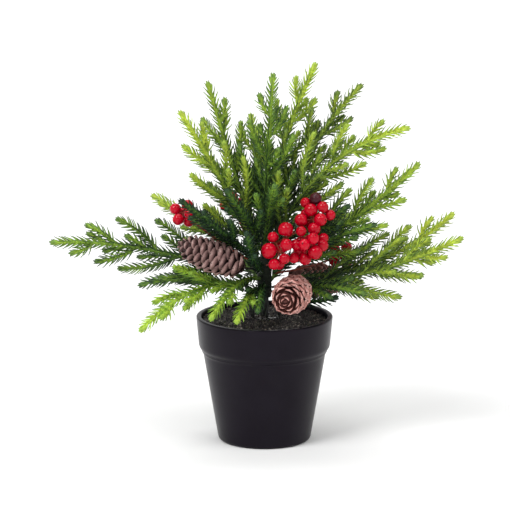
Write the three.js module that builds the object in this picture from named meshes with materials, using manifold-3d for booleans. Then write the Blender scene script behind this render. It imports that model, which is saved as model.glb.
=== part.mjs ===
// An artificial tabletop tree: moulded spruce sprigs on wire stems, pine cones and berry picks,
// set in foam over a cement ballast in a tapered plastic pot.
// Millimetres, +Z up. The origin is the centre of the pot's foot, and the show side faces -Y.
import * as THREE from "three";
import { mergeVertices } from "three/addons/utils/BufferGeometryUtils.js";
import Module from "manifold-3d";

const wasm = await Module();
wasm.setup();

// ---------------------------------------------------------------- driving dimensions
const GAP = 0.3; // clearance kept between neighbouring pieces
const GOLDEN_ANGLE = Math.PI * (3 - Math.sqrt(5));

const POT = {
  height: 93,
  rimRadius: 50.3, // outside, at the top of the band
  bandHeight: 24.5,
  bandFootRadius: 48.3,
  shoulderRadius: 45.4, // the wall just below the band
  footRadius: 34,
  footFillet: 2.6,
  rimWall: 3.4,
  wall: 2.2,
  floor: 2.6,
  segments: 32,
};
const FILL = {
  ballastTop: 40, // cement poured into the foot of the pot
  foamTop: 83,
  soilEdge: 89.5, // the granules lie a little below the rim
  soilCrown: 92.8, // and are mounded round the stems
};
const TRUNK = { radius: 3.2, foot: 24, top: 148 };
const WRAP = { radius: 5.6, low: 107, high: 136 }; // floral tape round the bound wires
const STEM = { radius: 1.7, foot: 48 };
const SPRIG = {
  axisRadius: 1.25,
  twigRadius: 0.95,
  budRadius: 1.8,
  firstTwig: 30, // from the tip to the first side twig
  twigSpacing: 15.5,
  bareStem: 12, // no side twig this close to the root
  twigBase: 5, // a side twig's length is this
  twigShare: 0.42, // plus this share of its distance from the tip
  longestTwig: 43,
  leaveAngle: THREE.MathUtils.degToRad(46), // a side twig leaves the axis at this angle
  endAngle: THREE.MathUtils.degToRad(28), // and its tip lies at this one
  twigLift: 0.14, // side twigs stand this share of their length off the fan's plane
};
const CONE = {
  length: 50,
  radius: 13,
  coreShare: 0.78, // the core's radius as a share of the cone's
  rows: 6,
  scalesInRow: 6,
  wireRadius: 0.9,
};
const BERRY = { radius: 4, ring: 6.8, wireRadius: 0.85, branchletRadius: 0.5, inBunch: 6 };

// ---------------------------------------------------------------- layout
// Each sprig: where it leaves its stem, where its tip ends, how far the middle of its axis bows
// off the chord, the way the flat side of its fan faces, and which side its first twig takes.
const SPRIGS = [
  // on the left stem
  {
    name: "sprig_left_long",
    root: [-16.6, -3.4, 122.6], tip: [-154, -12, 150],
    bow: [0, 0, 8], faces: [0, -1, 0.1], side: 1,
  },
  {
    name: "sprig_left_low",
    root: [-15.7, -4.9, 116], tip: [-88, -58, 96],
    bow: [0, 0, 12], faces: [-0.3, -0.6, 0.8], side: 1,
  },
  {
    name: "sprig_left_rear",
    root: [-15.4, -1.2, 112], tip: [-92, 34, 108],
    bow: [0, 0, 8], faces: [0, -0.4, 1], side: 1,
  },
  // on the right stem
  {
    name: "sprig_right_long",
    root: [19.4, -0.8, 122.2], tip: [137, 2, 168],
    bow: [4, 0, -12], faces: [0, -1, 0.2], side: 1,
  },
  {
    name: "sprig_right_low",
    root: [18.3, -1.4, 116], tip: [141, -28, 156],
    bow: [2, 0, -6], faces: [0, -1, 0.6], side: -1,
  },
  {
    name: "sprig_right_front",
    root: [16.3, -1.8, 111], tip: [71, -40, 118],
    bow: [0, 0, 5], faces: [0, -0.5, 1], side: 1,
  },
  {
    name: "sprig_right_droop",
    root: [15.6, 0.4, 104], tip: [52, -12, 109],
    bow: [0, 0, -2], faces: [0, -0.6, 1], side: 1,
  },
  // round the top of the trunk
  {
    name: "sprig_upper_left",
    root: [-4, 3.2, 141], tip: [-41, 9, 263],
    bow: [0, 0, 0], faces: [0, -1, 0.1], side: -1,
  },
  {
    name: "sprig_left_rising",
    root: [-4.9, -1.4, 139], tip: [-60, -24, 247],
    bow: [3, 0, 0], faces: [0, -1, 0.2], side: -1,
  },
  {
    name: "sprig_leader",
    root: [0, 0, 148.9], tip: [6, -12, 272],
    bow: [-1, 0, 0], faces: [0, -1, 0], side: 1,
  },
  {
    name: "sprig_over_cone",
    root: [-6.4, -3.4, 135], tip: [-59, -62, 190],
    bow: [0, -5, 2], faces: [-0.4, -0.5, 0.8], side: 1,
  },
  {
    name: "sprig_behind_berries",
    root: [5.2, -0.4, 146.5], tip: [60, -24, 179],
    bow: [2, 0, -1], faces: [0.3, -0.9, 0.3], side: -1,
  },
  {
    name: "sprig_crown_front",
    root: [-0.6, -5.2, 142], tip: [7, -48, 198],
    bow: [0, 4, 4], faces: [0, -0.9, 0.4], side: -1,
  },
  {
    name: "sprig_crown_rear",
    root: [-0.6, 5.3, 143], tip: [-10, 56, 232],
    bow: [0, 0, 8], faces: [0, -0.8, 0.6], side: 1,
  },
  {
    name: "sprig_upper_right",
    root: [2.4, 4.7, 144], tip: [37, 36, 273],
    bow: [-7, 0, 1], faces: [0, -1, 0], side: 1,
  },
  {
    name: "sprig_right_rising",
    root: [5.1, 1.2, 142], tip: [70, 20, 260],
    bow: [-8, 0, 5], faces: [0, -1, 0.2], side: 1,
  },
  {
    name: "sprig_right_upper",
    root: [4.3, -3, 139], tip: [102, -24, 236],
    bow: [-10, 0, 16], faces: [0, -1, 0.2], side: 1,
  },
  // on the wrap
  {
    name: "sprig_right_middle",
    root: [7.5, 0.4, 131], tip: [111, -4, 206],
    bow: [3, 0, -4], faces: [0, -1, 0.3], side: 1,
  },
  {
    name: "sprig_right_inner",
    root: [6.4, -4, 126], tip: [79, -22, 165],
    bow: [0, 0, 4], faces: [0, -0.7, 0.7], side: -1,
  },
  {
    name: "sprig_centre_left",
    root: [-3.3, -4, 143.5], tip: [-27, -44, 194],
    bow: [3, -4, 0], faces: [-0.4, -0.9, 0.3], side: 1,
  },
  {
    name: "sprig_centre_front",
    root: [-2.4, -6.9, 127], tip: [-13, -58, 166],
    bow: [0, -3, -3], faces: [1, 0, 0.2], side: 1,
  },
  {
    name: "sprig_rear_right_high",
    root: [4.8, 5.7, 132], tip: [50, 50, 158],
    bow: [0, 0, 9], faces: [0, -0.5, 1], side: -1,
  },
  {
    name: "sprig_front_left",
    root: [-4, -6.4, 122], tip: [-38, -61, 105],
    bow: [0, 0, 9], faces: [0, -0.3, 1], side: 1,
  },
  {
    name: "sprig_front_low",
    root: [-3.4, -6.6, 112], tip: [-20, -54, 101],
    bow: [0, 0, 7], faces: [0, -0.2, 1], side: 1,
  },
  {
    name: "sprig_front_short",
    root: [-0.4, -7.5, 117], tip: [-5, -47, 107],
    bow: [0, 0, 5], faces: [0, 0, 1], side: -1,
  },
  // on the rear stem
  {
    name: "sprig_rear_middle",
    root: [0.2, 17.6, 120.6], tip: [6, 114, 174],
    bow: [0, 0, 5], faces: [0, -0.4, 1], side: -1,
  },
  {
    name: "sprig_rear_left",
    root: [-2.2, 16.8, 115], tip: [-84, 84, 166],
    bow: [0, 0, 6], faces: [0.3, -0.4, 1], side: 1,
  },
  {
    name: "sprig_rear_right",
    root: [2.2, 16.6, 113], tip: [86, 82, 158],
    bow: [0, 0, 10], faces: [-0.3, -0.4, 1], side: -1,
  },
  {
    name: "sprig_rear_low",
    root: [-0.2, 16.4, 108], tip: [-18, 96, 112],
    bow: [0, 0, 9], faces: [0, 0.2, 1], side: 1,
  },
];

// Wire stems that stand in the foam: straight up through the soil, then leaning to their sprigs.
const STEMS = [
  { name: "stem_left", foot: [-9, -3], top: [-15, -3.4, 120] },
  { name: "stem_right", foot: [11, 1], top: [17.2, -1, 120] },
  { name: "stem_rear", foot: [0, 11], top: [0, 16, 118.5] },
];

// Pine cones: the centre, the way the tip points, and where the pick's wire reaches the wrap.
const CONES = [
  {
    name: "cone_left",
    centre: [-40, -37, 146], points: [-0.9, -0.15, 0.37],
    anchor: [-5.9, -4.2, 130],
  },
  {
    name: "cone_front",
    centre: [19, -40, 117], points: [-0.22, -0.97, 0.02],
    anchor: [3.4, -6.4, 112],
  },
  {
    name: "cone_rear",
    centre: [40, 32, 112], points: [0.76, 0.62, -0.1],
    anchor: [5.7, 4.4, 113],
  },
];

// Berry picks: the middle of the bunch, where its wire reaches the trunk, and each berry's place
// from that middle with its radius. Without a list the berries are set evenly round the middle.
const BUNCHES = [
  {
    name: "berries_front_left",
    centre: [11, -44, 150],
    anchor: [1.6, -7, 132],
    berries: [
      [-8, -2, 1, 5.8],
      [-5, 4, 9.6, 4.1],
      [4.4, -5, 6, 4.5],
      [3, -5.6, -4, 3.9],
      [-4.4, -5.6, -8, 4.1],
      [9.8, 1.4, -5, 3.9],
      [-0.8, 4, -10, 4.1],
      [4, 3, 15.4, 5.6],
      [0.5, 7.5, 1, 4.6],
    ],
  },
  {
    name: "berries_front_right",
    centre: [31, -41, 153],
    anchor: [4.6, -5.4, 134],
    joined: true,
    berries: [
      [-5, -2, 11.6, 3.6],
      [3.6, -5.6, 7.2, 4],
      [-2.8, -7, 3, 4],
      [-8.4, 0.4, 1.4, 3.9],
      [5, -3, -3.4, 5],
      [10.2, 1, 0.8, 4.2],
      [-2, 0.6, -9, 4.3],
      [-6, 6, -5, 4.2],
      [1, 8, 3, 4],
      [11, 6, 5, 3.6],
    ],
  },
  {
    name: "berries_front_top",
    centre: [35, -31, 171],
    anchor: [2.8, -4.2, 146],
    joined: true,
    berries: [
      [-9, -3, 0, 4.5],
      [-2, 1, 6.4, 4.7],
      [6.6, 2, 8.4, 4.1],
      [5, -4, 0.6, 4.4],
      [0.4, -5, -6, 4.4],
      [12, 3, 2.6, 3.7],
      [-5.6, 6, 11, 3.6],
      [1.6, 5, 14, 4.4],
      [-6, 7, -2, 4.2],
    ],
  },
  {
    name: "berries_left",
    centre: [-59, -5, 170], anchor: [-7, 0.4, 132],
    joined: true, turn: 0.7,
  },
  {
    name: "berries_right",
    centre: [57, 19, 134], anchor: [6.4, 2.8, 124],
    joined: true, turn: 0.2,
  },
  {
    name: "berries_rear",
    centre: [-24, 50, 166], anchor: [-3.5, 6.2, 132],
    joined: true, turn: 1.6,
  },
];

// ---------------------------------------------------------------- materials
const finish = (color, roughness, metalness = 0) =>
  new THREE.MeshStandardMaterial({ color, roughness, metalness });
const MATERIALS = {
  pot: finish(0x2b292e, 0.42),
  cement: finish(0x9a9792, 0.95),
  foam: finish(0x20211f, 0.9),
  soil: finish(0x2a2422, 1.0),
  bark: finish(0x14170f, 0.6),
  tape: finish(0x1d2614, 0.7),
  spruce: finish(0x2f5a26, 0.5),
  cone: finish(0x7a5347, 0.85),
  wire: finish(0x3b3a36, 0.4, 0.8),
  berry: finish(0xc00818, 0.15),
  berryStem: finish(0x5d2a1c, 0.7),
};

// ---------------------------------------------------------------- solids
const vector = (xyz) => new THREE.Vector3(...xyz);

// A closed geometry as a manifold-3d solid.
function solidOf(geometry) {
  const bare = new THREE.BufferGeometry();
  const source = geometry.index ? geometry.toNonIndexed() : geometry;
  bare.setAttribute("position", source.getAttribute("position"));
  const merged = mergeVertices(bare, 1e-4);
  return new wasm.Manifold(
    new wasm.Mesh({
      numProp: 3,
      vertProperties: merged.attributes.position.array,
      triVerts: new Uint32Array(merged.index.array),
    }),
  );
}

function geometryOf(solid) {
  const mesh = solid.getMesh();
  return new THREE.BufferGeometry()
    .setAttribute("position", new THREE.BufferAttribute(mesh.vertProperties, 3))
    .setIndex(new THREE.BufferAttribute(mesh.triVerts, 1));
}

const join = (geometries) =>
  geometryOf(geometries.map(solidOf).reduce((whole, next) => whole.add(next)));
const cut = (geometry, tools) =>
  geometryOf(tools.map(solidOf).reduce((whole, tool) => whole.subtract(tool), solidOf(geometry)));

// A tube of constant radius along a curve, with flat closed ends.
function tube(curve, radius, sides, steps) {
  const section = new THREE.Shape();
  for (let i = 0; i < sides; i++) {
    const angle = (i / sides) * 2 * Math.PI;
    const at = [radius * Math.cos(angle), radius * Math.sin(angle)];
    i ? section.lineTo(...at) : section.moveTo(...at);
  }
  section.closePath();
  return new THREE.ExtrudeGeometry(section, { steps, extrudePath: curve });
}

const rod = (from, to, radius, sides = 6) => tube(new THREE.LineCurve3(from, to), radius, sides, 1);

// A small faceted ball stretched along a direction.
function bud(at, along, radius, stretch) {
  const turn = new THREE.Quaternion().setFromUnitVectors(
    new THREE.Vector3(0, 0, 1),
    along.clone().normalize(),
  );
  return new THREE.OctahedronGeometry(radius, 0)
    .scale(1, 1, stretch)
    .applyQuaternion(turn)
    .translate(at.x, at.y, at.z);
}

function addTo(group, name, geometry, material) {
  const mesh = new THREE.Mesh(geometry, material);
  mesh.name = name;
  group.add(mesh);
}

// ---------------------------------------------------------------- pot and filling
// The inside radius of the pot's wall at a height, below the band.
const insideRadius = (z) => {
  const share = z / (POT.height - POT.bandHeight);
  return THREE.MathUtils.lerp(POT.footRadius, POT.shoulderRadius, share) - POT.wall;
};

function lathe(points, segments = POT.segments) {
  const profile = points.map(([r, z]) => new THREE.Vector2(r, z));
  return new THREE.LatheGeometry([...profile, profile[0].clone()], segments).rotateX(Math.PI / 2);
}

function potGeometry() {
  const bandFoot = POT.height - POT.bandHeight;
  const fillet = [0, 30, 60, 90].map((degrees) => {
    const angle = THREE.MathUtils.degToRad(degrees);
    const centre = POT.footRadius - POT.footFillet;
    return [centre + POT.footFillet * Math.sin(angle), POT.footFillet * (1 - Math.cos(angle))];
  });
  return lathe([
    [0, 0],
    ...fillet,
    [POT.shoulderRadius, bandFoot - 2.2],
    [POT.shoulderRadius + 1.1, bandFoot - 0.6],
    [POT.bandFootRadius - 0.7, bandFoot + 0.9],
    [POT.bandFootRadius, bandFoot + 2],
    [POT.rimRadius, POT.height - 0.8],
    [POT.rimRadius - 0.8, POT.height],
    [POT.rimRadius - POT.rimWall + 0.6, POT.height],
    [POT.rimRadius - POT.rimWall, POT.height - 0.8],
    [insideRadius(bandFoot) + 0.2, bandFoot],
    [insideRadius(POT.floor), POT.floor],
    [0, POT.floor],
  ]);
}

// A plug that follows the pot's wall between two heights, with its top crowned by some amount.
function plugGeometry(low, high, crown = 0) {
  const bandFoot = POT.height - POT.bandHeight;
  const radius = (z) => {
    const flare = POT.rimRadius - POT.rimWall - insideRadius(bandFoot);
    const above = Math.max(0, z - bandFoot) / POT.bandHeight;
    return insideRadius(Math.min(z, bandFoot)) + flare * above - GAP - 0.1;
  };
  const middle = low < bandFoot && high > bandFoot ? [[radius(bandFoot), bandFoot]] : [];
  return lathe([
    [0, low],
    [radius(low), low],
    ...middle,
    [radius(high), high],
    [radius(high) * 0.62, high + crown * 0.7],
    [radius(high) * 0.28, high + crown],
    [0, high + crown],
  ]);
}

// Holes for everything that stands in the filling.
function stemHoles(top) {
  const wells = STEMS.map(({ foot }) => [foot, STEM.radius, STEM.foot - GAP]);
  return [...wells, [[0, 0], TRUNK.radius, TRUNK.foot - GAP]].map(([[x, y], radius, low]) =>
    rod(new THREE.Vector3(x, y, low), new THREE.Vector3(x, y, top), radius + GAP + 0.15, 12),
  );
}

// ---------------------------------------------------------------- stems and sprigs
const trunkGeometry = () =>
  rod(new THREE.Vector3(0, 0, TRUNK.foot), new THREE.Vector3(0, 0, TRUNK.top), TRUNK.radius, 12);

function wrapGeometry() {
  const bore = TRUNK.radius + GAP;
  return lathe(
    [
      [bore, WRAP.low],
      [WRAP.radius - 1.2, WRAP.low],
      [WRAP.radius, WRAP.low + 2.5],
      [WRAP.radius, WRAP.high - 2.5],
      [WRAP.radius - 1.2, WRAP.high],
      [bore, WRAP.high],
    ],
    16,
  );
}

function stemGeometry({ foot: [x, y], top }) {
  const soil = FILL.soilCrown + 1;
  const lower = new THREE.Vector3(x, y, soil);
  const lean = new THREE.QuadraticBezierCurve3(lower, new THREE.Vector3(x, y, soil + 12), vector(top));
  return join([
    rod(new THREE.Vector3(x, y, STEM.foot), new THREE.Vector3(x, y, soil + 0.4), STEM.radius, 8),
    tube(lean, STEM.radius, 8, 4),
  ]);
}

// The sprig's bowed axis.
function sprigAxis({ root, tip, bow }) {
  const from = vector(root);
  const to = vector(tip);
  const middle = from.clone().lerp(to, 0.5).addScaledVector(vector(bow), 2);
  return new THREE.QuadraticBezierCurve3(from, middle, to);
}

// Its side twigs: curves that leave the axis on alternate sides, longer towards the root.
function twigCurves(sprig, axis) {
  const length = axis.getLength();
  const twigs = [];
  for (let i = 0; ; i++) {
    const fromTip = SPRIG.firstTwig + i * SPRIG.twigSpacing;
    if (fromTip > length - SPRIG.bareStem) return twigs;
    const u = 1 - fromTip / length;
    const start = axis.getPointAt(u);
    const tangent = axis.getTangentAt(u);
    const side = vector(sprig.faces).cross(tangent).normalize();
    const lift = tangent.clone().cross(side);
    side.multiplyScalar(i % 2 ? -sprig.side : sprig.side);
    const reach = Math.min(SPRIG.longestTwig, SPRIG.twigBase + SPRIG.twigShare * fromTip);
    const leaving = (angle, distance) =>
      start
        .clone()
        .addScaledVector(tangent, distance * Math.cos(angle))
        .addScaledVector(side, distance * Math.sin(angle));
    const end = leaving(SPRIG.endAngle, reach);
    end.addScaledVector(lift, reach * SPRIG.twigLift * (i % 3 === 1 ? -1 : 1));
    twigs.push(new THREE.QuadraticBezierCurve3(start, leaving(SPRIG.leaveAngle, reach * 0.45), end));
  }
}

function sprigGeometry(sprig) {
  const axis = sprigAxis(sprig);
  return join([
    tube(axis, SPRIG.axisRadius, 5, 6),
    bud(axis.getPoint(1), axis.getTangent(1), SPRIG.budRadius, 1.6),
    ...twigCurves(sprig, axis).map((twig) => tube(twig, SPRIG.twigRadius, 4, 2)),
  ]);
}

// ---------------------------------------------------------------- cones and berries
// A cone's radius at a share of its length from the base: fullest near a third of the way up.
const coneRadius = (share) => CONE.radius * Math.sin(Math.PI * (0.2 + 0.74 * share ** 0.9)) ** 0.7;

function coneGeometry({ centre, points }) {
  const shares = [0, 0.04, 0.35, 0.7, 0.96, 1];
  const core = new THREE.LatheGeometry(
    shares.map((share, i) => {
      const onAxis = i === 0 || i === shares.length - 1;
      const radius = onAxis ? 0 : coneRadius(share) * CONE.coreShare;
      return new THREE.Vector2(radius, (share - 0.5) * CONE.length * 0.96);
    }),
    10,
  ).rotateX(Math.PI / 2);
  const scales = Array.from({ length: CONE.rows * CONE.scalesInRow }, (_, i) => {
    const row = Math.floor(i / CONE.scalesInRow);
    const share = 0.08 + (0.84 * row) / (CONE.rows - 1);
    const size = coneRadius(share) / CONE.radius;
    return new THREE.OctahedronGeometry(1, 0)
      .scale(2 * size, 4.6 * size, 5)
      .translate(coneRadius(share) - 2.4 * size, 0, (share - 0.5) * CONE.length)
      .rotateZ(((i + 0.5 * (row % 2)) / CONE.scalesInRow) * 2 * Math.PI);
  });
  const turn = new THREE.Quaternion().setFromUnitVectors(
    new THREE.Vector3(0, 0, 1),
    vector(points).normalize(),
  );
  return join([core, ...scales]).applyQuaternion(turn).translate(...centre);
}

function coneWireGeometry({ centre, points, anchor }) {
  const away = vector(points).normalize();
  const seat = vector(centre).addScaledVector(away, -CONE.length * 0.5 - 0.8);
  const bend = seat.clone().addScaledVector(away, -6);
  return tube(new THREE.QuadraticBezierCurve3(seat, bend, vector(anchor)), CONE.wireRadius, 5, 4);
}

// Each berry of a bunch: its centre and radius.
function berriesOf({ centre, turn, berries }) {
  if (berries) {
    return berries.map(([x, y, z, radius]) => ({
      at: vector(centre).add(new THREE.Vector3(x, y, z)),
      radius,
    }));
  }
  return Array.from({ length: BERRY.inBunch }, (_, i) => {
    const z = 1 - (2 * i + 1) / BERRY.inBunch;
    const angle = turn + i * GOLDEN_ANGLE;
    const flat = Math.sqrt(1 - z * z);
    const out = new THREE.Vector3(flat * Math.cos(angle), flat * Math.sin(angle), z);
    return { at: vector(centre).addScaledVector(out, BERRY.ring), radius: BERRY.radius };
  });
}

const berryGeometry = ({ at, radius }) =>
  new THREE.OctahedronGeometry(radius, 1).translate(at.x, at.y, at.z);

// The bunch's wire with one branchlet to each berry; each stops this far off the berry's surface.
function berryStemParts(bunch, shortBy) {
  const hub = vector(bunch.centre);
  const anchor = vector(bunch.anchor);
  const bend = anchor.clone().lerp(hub, 0.5).add(new THREE.Vector3(0, 0, -4));
  const arms = berriesOf(bunch).map(({ at, radius }) => {
    const out = at.clone().sub(hub).normalize();
    const end = at.clone().addScaledVector(out, -radius - shortBy);
    return rod(hub.clone().addScaledVector(out, -0.4), end, BERRY.branchletRadius, 4);
  });
  return [
    tube(new THREE.QuadraticBezierCurve3(anchor, bend, hub), BERRY.wireRadius, 5, 4),
    bud(hub, new THREE.Vector3(0, 0, 1), 1.2, 1),
    ...arms,
  ];
}

// ---------------------------------------------------------------- assembly
const tree = new THREE.Group();

addTo(tree, "pot", potGeometry(), MATERIALS.pot);
addTo(
  tree,
  "ballast_cement",
  cut(plugGeometry(POT.floor + GAP, FILL.ballastTop), stemHoles(FILL.ballastTop + 5)),
  MATERIALS.cement,
);
addTo(
  tree,
  "foam_block",
  cut(plugGeometry(FILL.ballastTop + GAP, FILL.foamTop), stemHoles(FILL.foamTop + 5)),
  MATERIALS.foam,
);
addTo(
  tree,
  "soil_layer",
  cut(
    plugGeometry(FILL.foamTop + GAP, FILL.soilEdge, FILL.soilCrown - FILL.soilEdge),
    stemHoles(FILL.soilCrown + 5),
  ),
  MATERIALS.soil,
);
addTo(tree, "trunk", trunkGeometry(), MATERIALS.bark);
addTo(tree, "tape_wrap", wrapGeometry(), MATERIALS.tape);
for (const stem of STEMS) addTo(tree, stem.name, stemGeometry(stem), MATERIALS.bark);
for (const sprig of SPRIGS) addTo(tree, sprig.name, sprigGeometry(sprig), MATERIALS.spruce);
for (const cone of CONES) {
  addTo(tree, cone.name, coneGeometry(cone), MATERIALS.cone);
  addTo(tree, `${cone.name}_wire`, coneWireGeometry(cone), MATERIALS.wire);
}
for (const bunch of BUNCHES) {
  if (bunch.joined) {
    const whole = [...berryStemParts(bunch, -1), ...berriesOf(bunch).map(berryGeometry)];
    addTo(tree, bunch.name, join(whole), MATERIALS.berry);
    continue;
  }
  addTo(tree, `${bunch.name}_stem`, join(berryStemParts(bunch, GAP)), MATERIALS.berryStem);
  berriesOf(bunch).forEach((berry, i) =>
    addTo(tree, `${bunch.name}_${i + 1}`, berryGeometry(berry), MATERIALS.berry),
  );
}

export default tree;
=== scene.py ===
"""Looks for the artificial tabletop tree: a moulded pot of glued granules, spruce sprigs with
their needles, pine cones and glossy berry picks. Shapes are worked out in millimetres, and
Shape.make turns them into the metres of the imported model's frame."""

import math

import bpy
import numpy as np
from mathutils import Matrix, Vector


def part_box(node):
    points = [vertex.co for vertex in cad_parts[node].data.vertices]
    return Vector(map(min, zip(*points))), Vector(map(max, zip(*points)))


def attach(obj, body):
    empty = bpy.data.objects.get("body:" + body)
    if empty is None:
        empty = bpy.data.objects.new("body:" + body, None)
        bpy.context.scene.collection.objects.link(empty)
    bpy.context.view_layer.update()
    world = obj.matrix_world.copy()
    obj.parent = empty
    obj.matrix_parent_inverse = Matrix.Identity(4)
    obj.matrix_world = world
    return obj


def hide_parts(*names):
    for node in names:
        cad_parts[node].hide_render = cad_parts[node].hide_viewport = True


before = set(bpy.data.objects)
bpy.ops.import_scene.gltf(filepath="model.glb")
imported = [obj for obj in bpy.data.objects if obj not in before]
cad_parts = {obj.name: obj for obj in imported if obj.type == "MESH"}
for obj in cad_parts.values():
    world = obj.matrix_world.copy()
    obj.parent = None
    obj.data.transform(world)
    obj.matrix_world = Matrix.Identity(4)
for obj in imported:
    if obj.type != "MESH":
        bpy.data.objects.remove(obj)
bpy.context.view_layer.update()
MM = 0.001
BASE = "pot_and_stems"
GOLDEN_ANGLE = math.pi * (3 - math.sqrt(5))
rng = np.random.default_rng(20)


# -------------------- layout, in millimetres
# Sprigs: root, tip, bow of the axis, the way the fan's flat side faces and side of the first twig;
# then how bright the green is at the root and at the tips (0 dark, 1 lime), partly the green's own tone and
# partly painted shade on sprigs that lie in shade, such as right_front, and how warm it is.
SPRIGS = {
    "left_long": ((-16.6, -3.4, 122.6), (-154, -12, 150), (0, 0, 8), (0, -1, 0.1), 1, 0.06, 0.66, 0.4),
    "left_low": ((-15.7, -4.9, 116), (-88, -58, 96), (0, 0, 12), (-0.3, -0.6, 0.8), 1, 0.45, 0.95, 0.3),
    "left_rear": ((-15.4, -1.2, 112), (-92, 34, 108), (0, 0, 8), (0, -0.4, 1), 1, 0.15, 0.5, 0.25),
    "right_long": ((19.4, -0.8, 122.2), (137, 2, 168), (4, 0, -12), (0, -1, 0.2), 1, 0.06, 0.86, 0.8),
    "right_low": ((18.3, -1.4, 116), (141, -28, 156), (2, 0, -6), (0, -1, 0.6), -1, 0.06, 0.86, 0.7),
    "right_front": ((16.3, -1.8, 111), (71, -40, 118), (0, 0, 5), (0, -0.5, 1), 1, 0.1, 0.5, 0.4),
    "right_droop": ((15.6, 0.4, 104), (52, -12, 109), (0, 0, -2), (0, -0.6, 1), 1, 0.05, 0.2, 0.2),
    "upper_left": ((-4, 3.2, 141), (-41, 9, 263), (0, 0, 0), (0, -1, 0.1), -1, 0.2, 0.72, 0.55),
    "left_rising": ((-4.9, -1.4, 139), (-60, -24, 247), (3, 0, 0), (0, -1, 0.2), -1, 0.2, 0.92, 0.65),
    "leader": ((0, 0, 148.9), (6, -12, 272), (-1, 0, 0), (0, -1, 0), 1, 0.15, 0.68, 0.35),
    "over_cone": ((-6.4, -3.4, 135), (-59, -62, 190), (0, -5, 2), (-0.4, -0.5, 0.8), 1, 0.1, 0.25, 0.2),
    "behind_berries": ((5.2, -0.4, 146.5), (60, -24, 179), (2, 0, -1), (0.3, -0.9, 0.3), -1, 0.08, 0.35, 0.3),
    "crown_front": ((-0.6, -5.2, 142), (7, -48, 198), (0, 4, 4), (0, -0.9, 0.4), -1, 0.15, 0.6, 0.3),
    "crown_rear": ((-0.6, 5.3, 143), (-10, 56, 232), (0, 0, 8), (0, -0.8, 0.6), 1, 0.1, 0.7, 0.7),
    "upper_right": ((2.4, 4.7, 144), (37, 36, 273), (-7, 0, 1), (0, -1, 0), 1, 0.2, 0.9, 0.6),
    "right_rising": ((5.1, 1.2, 142), (70, 20, 260), (-8, 0, 5), (0, -1, 0.2), 1, 0.12, 0.62, 0.8),
    "right_upper": ((4.3, -3, 139), (102, -24, 236), (-10, 0, 16), (0, -1, 0.2), 1, 0.12, 0.85, 0.65),
    "right_middle": ((7.5, 0.4, 131), (111, -4, 206), (3, 0, -4), (0, -1, 0.3), 1, 0.1, 0.85, 0.5),
    "right_inner": ((6.4, -4, 126), (79, -22, 165), (0, 0, 4), (0, -0.7, 0.7), -1, 0.06, 0.5, 0.3),
    "centre_left": ((-3.3, -4, 143.5), (-27, -44, 194), (3, -4, 0), (-0.4, -0.9, 0.3), 1, 0.1, 0.38, 0.2),
    "centre_front": ((-2.4, -6.9, 127), (-13, -58, 166), (0, -3, -3), (1, 0, 0.2), 1, 0.1, 0.3, 0.15),
    "rear_right_high": ((4.8, 5.7, 132), (50, 50, 158), (0, 0, 9), (0, -0.5, 1), -1, 0.08, 0.4, 0.4),
    "front_left": ((-4, -6.4, 122), (-38, -61, 105), (0, 0, 9), (0, -0.3, 1), 1, 0.25, 0.9, 0.3),
    "front_low": ((-3.4, -6.6, 112), (-20, -54, 101), (0, 0, 7), (0, -0.2, 1), 1, 0.25, 0.98, 0.35),
    "front_short": ((-0.4, -7.5, 117), (-5, -47, 107), (0, 0, 5), (0, 0, 1), -1, 0.15, 0.42, 0.15),
    "rear_middle": ((0.2, 17.6, 120.6), (6, 114, 174), (0, 0, 5), (0, -0.4, 1), -1, 0.12, 0.85, 0.6),
    "rear_left": ((-2.2, 16.8, 115), (-84, 84, 166), (0, 0, 6), (0.3, -0.4, 1), 1, 0.12, 0.85, 0.6),
    "rear_right": ((2.2, 16.6, 113), (86, 82, 158), (0, 0, 10), (-0.3, -0.4, 1), -1, 0.12, 0.85, 0.6),
    "rear_low": ((-0.2, 16.4, 108), (-18, 96, 112), (0, 0, 9), (0, 0.2, 1), 1, 0.1, 0.6, 0.3),
}
FIRST_TWIG, TWIG_SPACING, BARE_STEM = 30, 15.5, 12  # first is from the tip, bare from the root
FULL_SPRIGS = (  # these also carry short twigs out of their fan
    "upper_left", "left_rising", "leader", "crown_rear", "upper_right", "right_rising",
    "right_upper", "right_middle", "right_long", "left_low", "left_long", "right_low",
    "rear_middle", "rear_left", "rear_right",
)
TWIG_BASE, TWIG_SHARE, LONGEST_TWIG = 5, 0.42, 43
LEAVE_ANGLE, END_ANGLE, TWIG_LIFT = math.radians(46), math.radians(28), 0.14

STEMS = {  # foot in the soil, and top
    "stem_left": ((-9, -3), (-15, -3.4, 120)),
    "stem_right": ((11, 1), (17.2, -1, 120)),
    "stem_rear": ((0, 11), (0, 16, 118.5)),
}
# Cones: middle, the way the tip points, where the wire reaches the trunk, girth and warmth.
CONES = {
    "cone_left": ((-40, -37, 146), (-0.9, -0.15, 0.37), (-5.9, -4.2, 130), 0.9, 0.1),
    "cone_front": ((19, -40, 117), (-0.22, -0.97, 0.02), (3.4, -6.4, 112), 1.0, 0.9),
    "cone_rear": ((40, 32, 112), (0.76, 0.62, -0.1), (5.7, 4.4, 113), 0.97, 0.5),
}
CONE_LENGTH = 50

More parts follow.
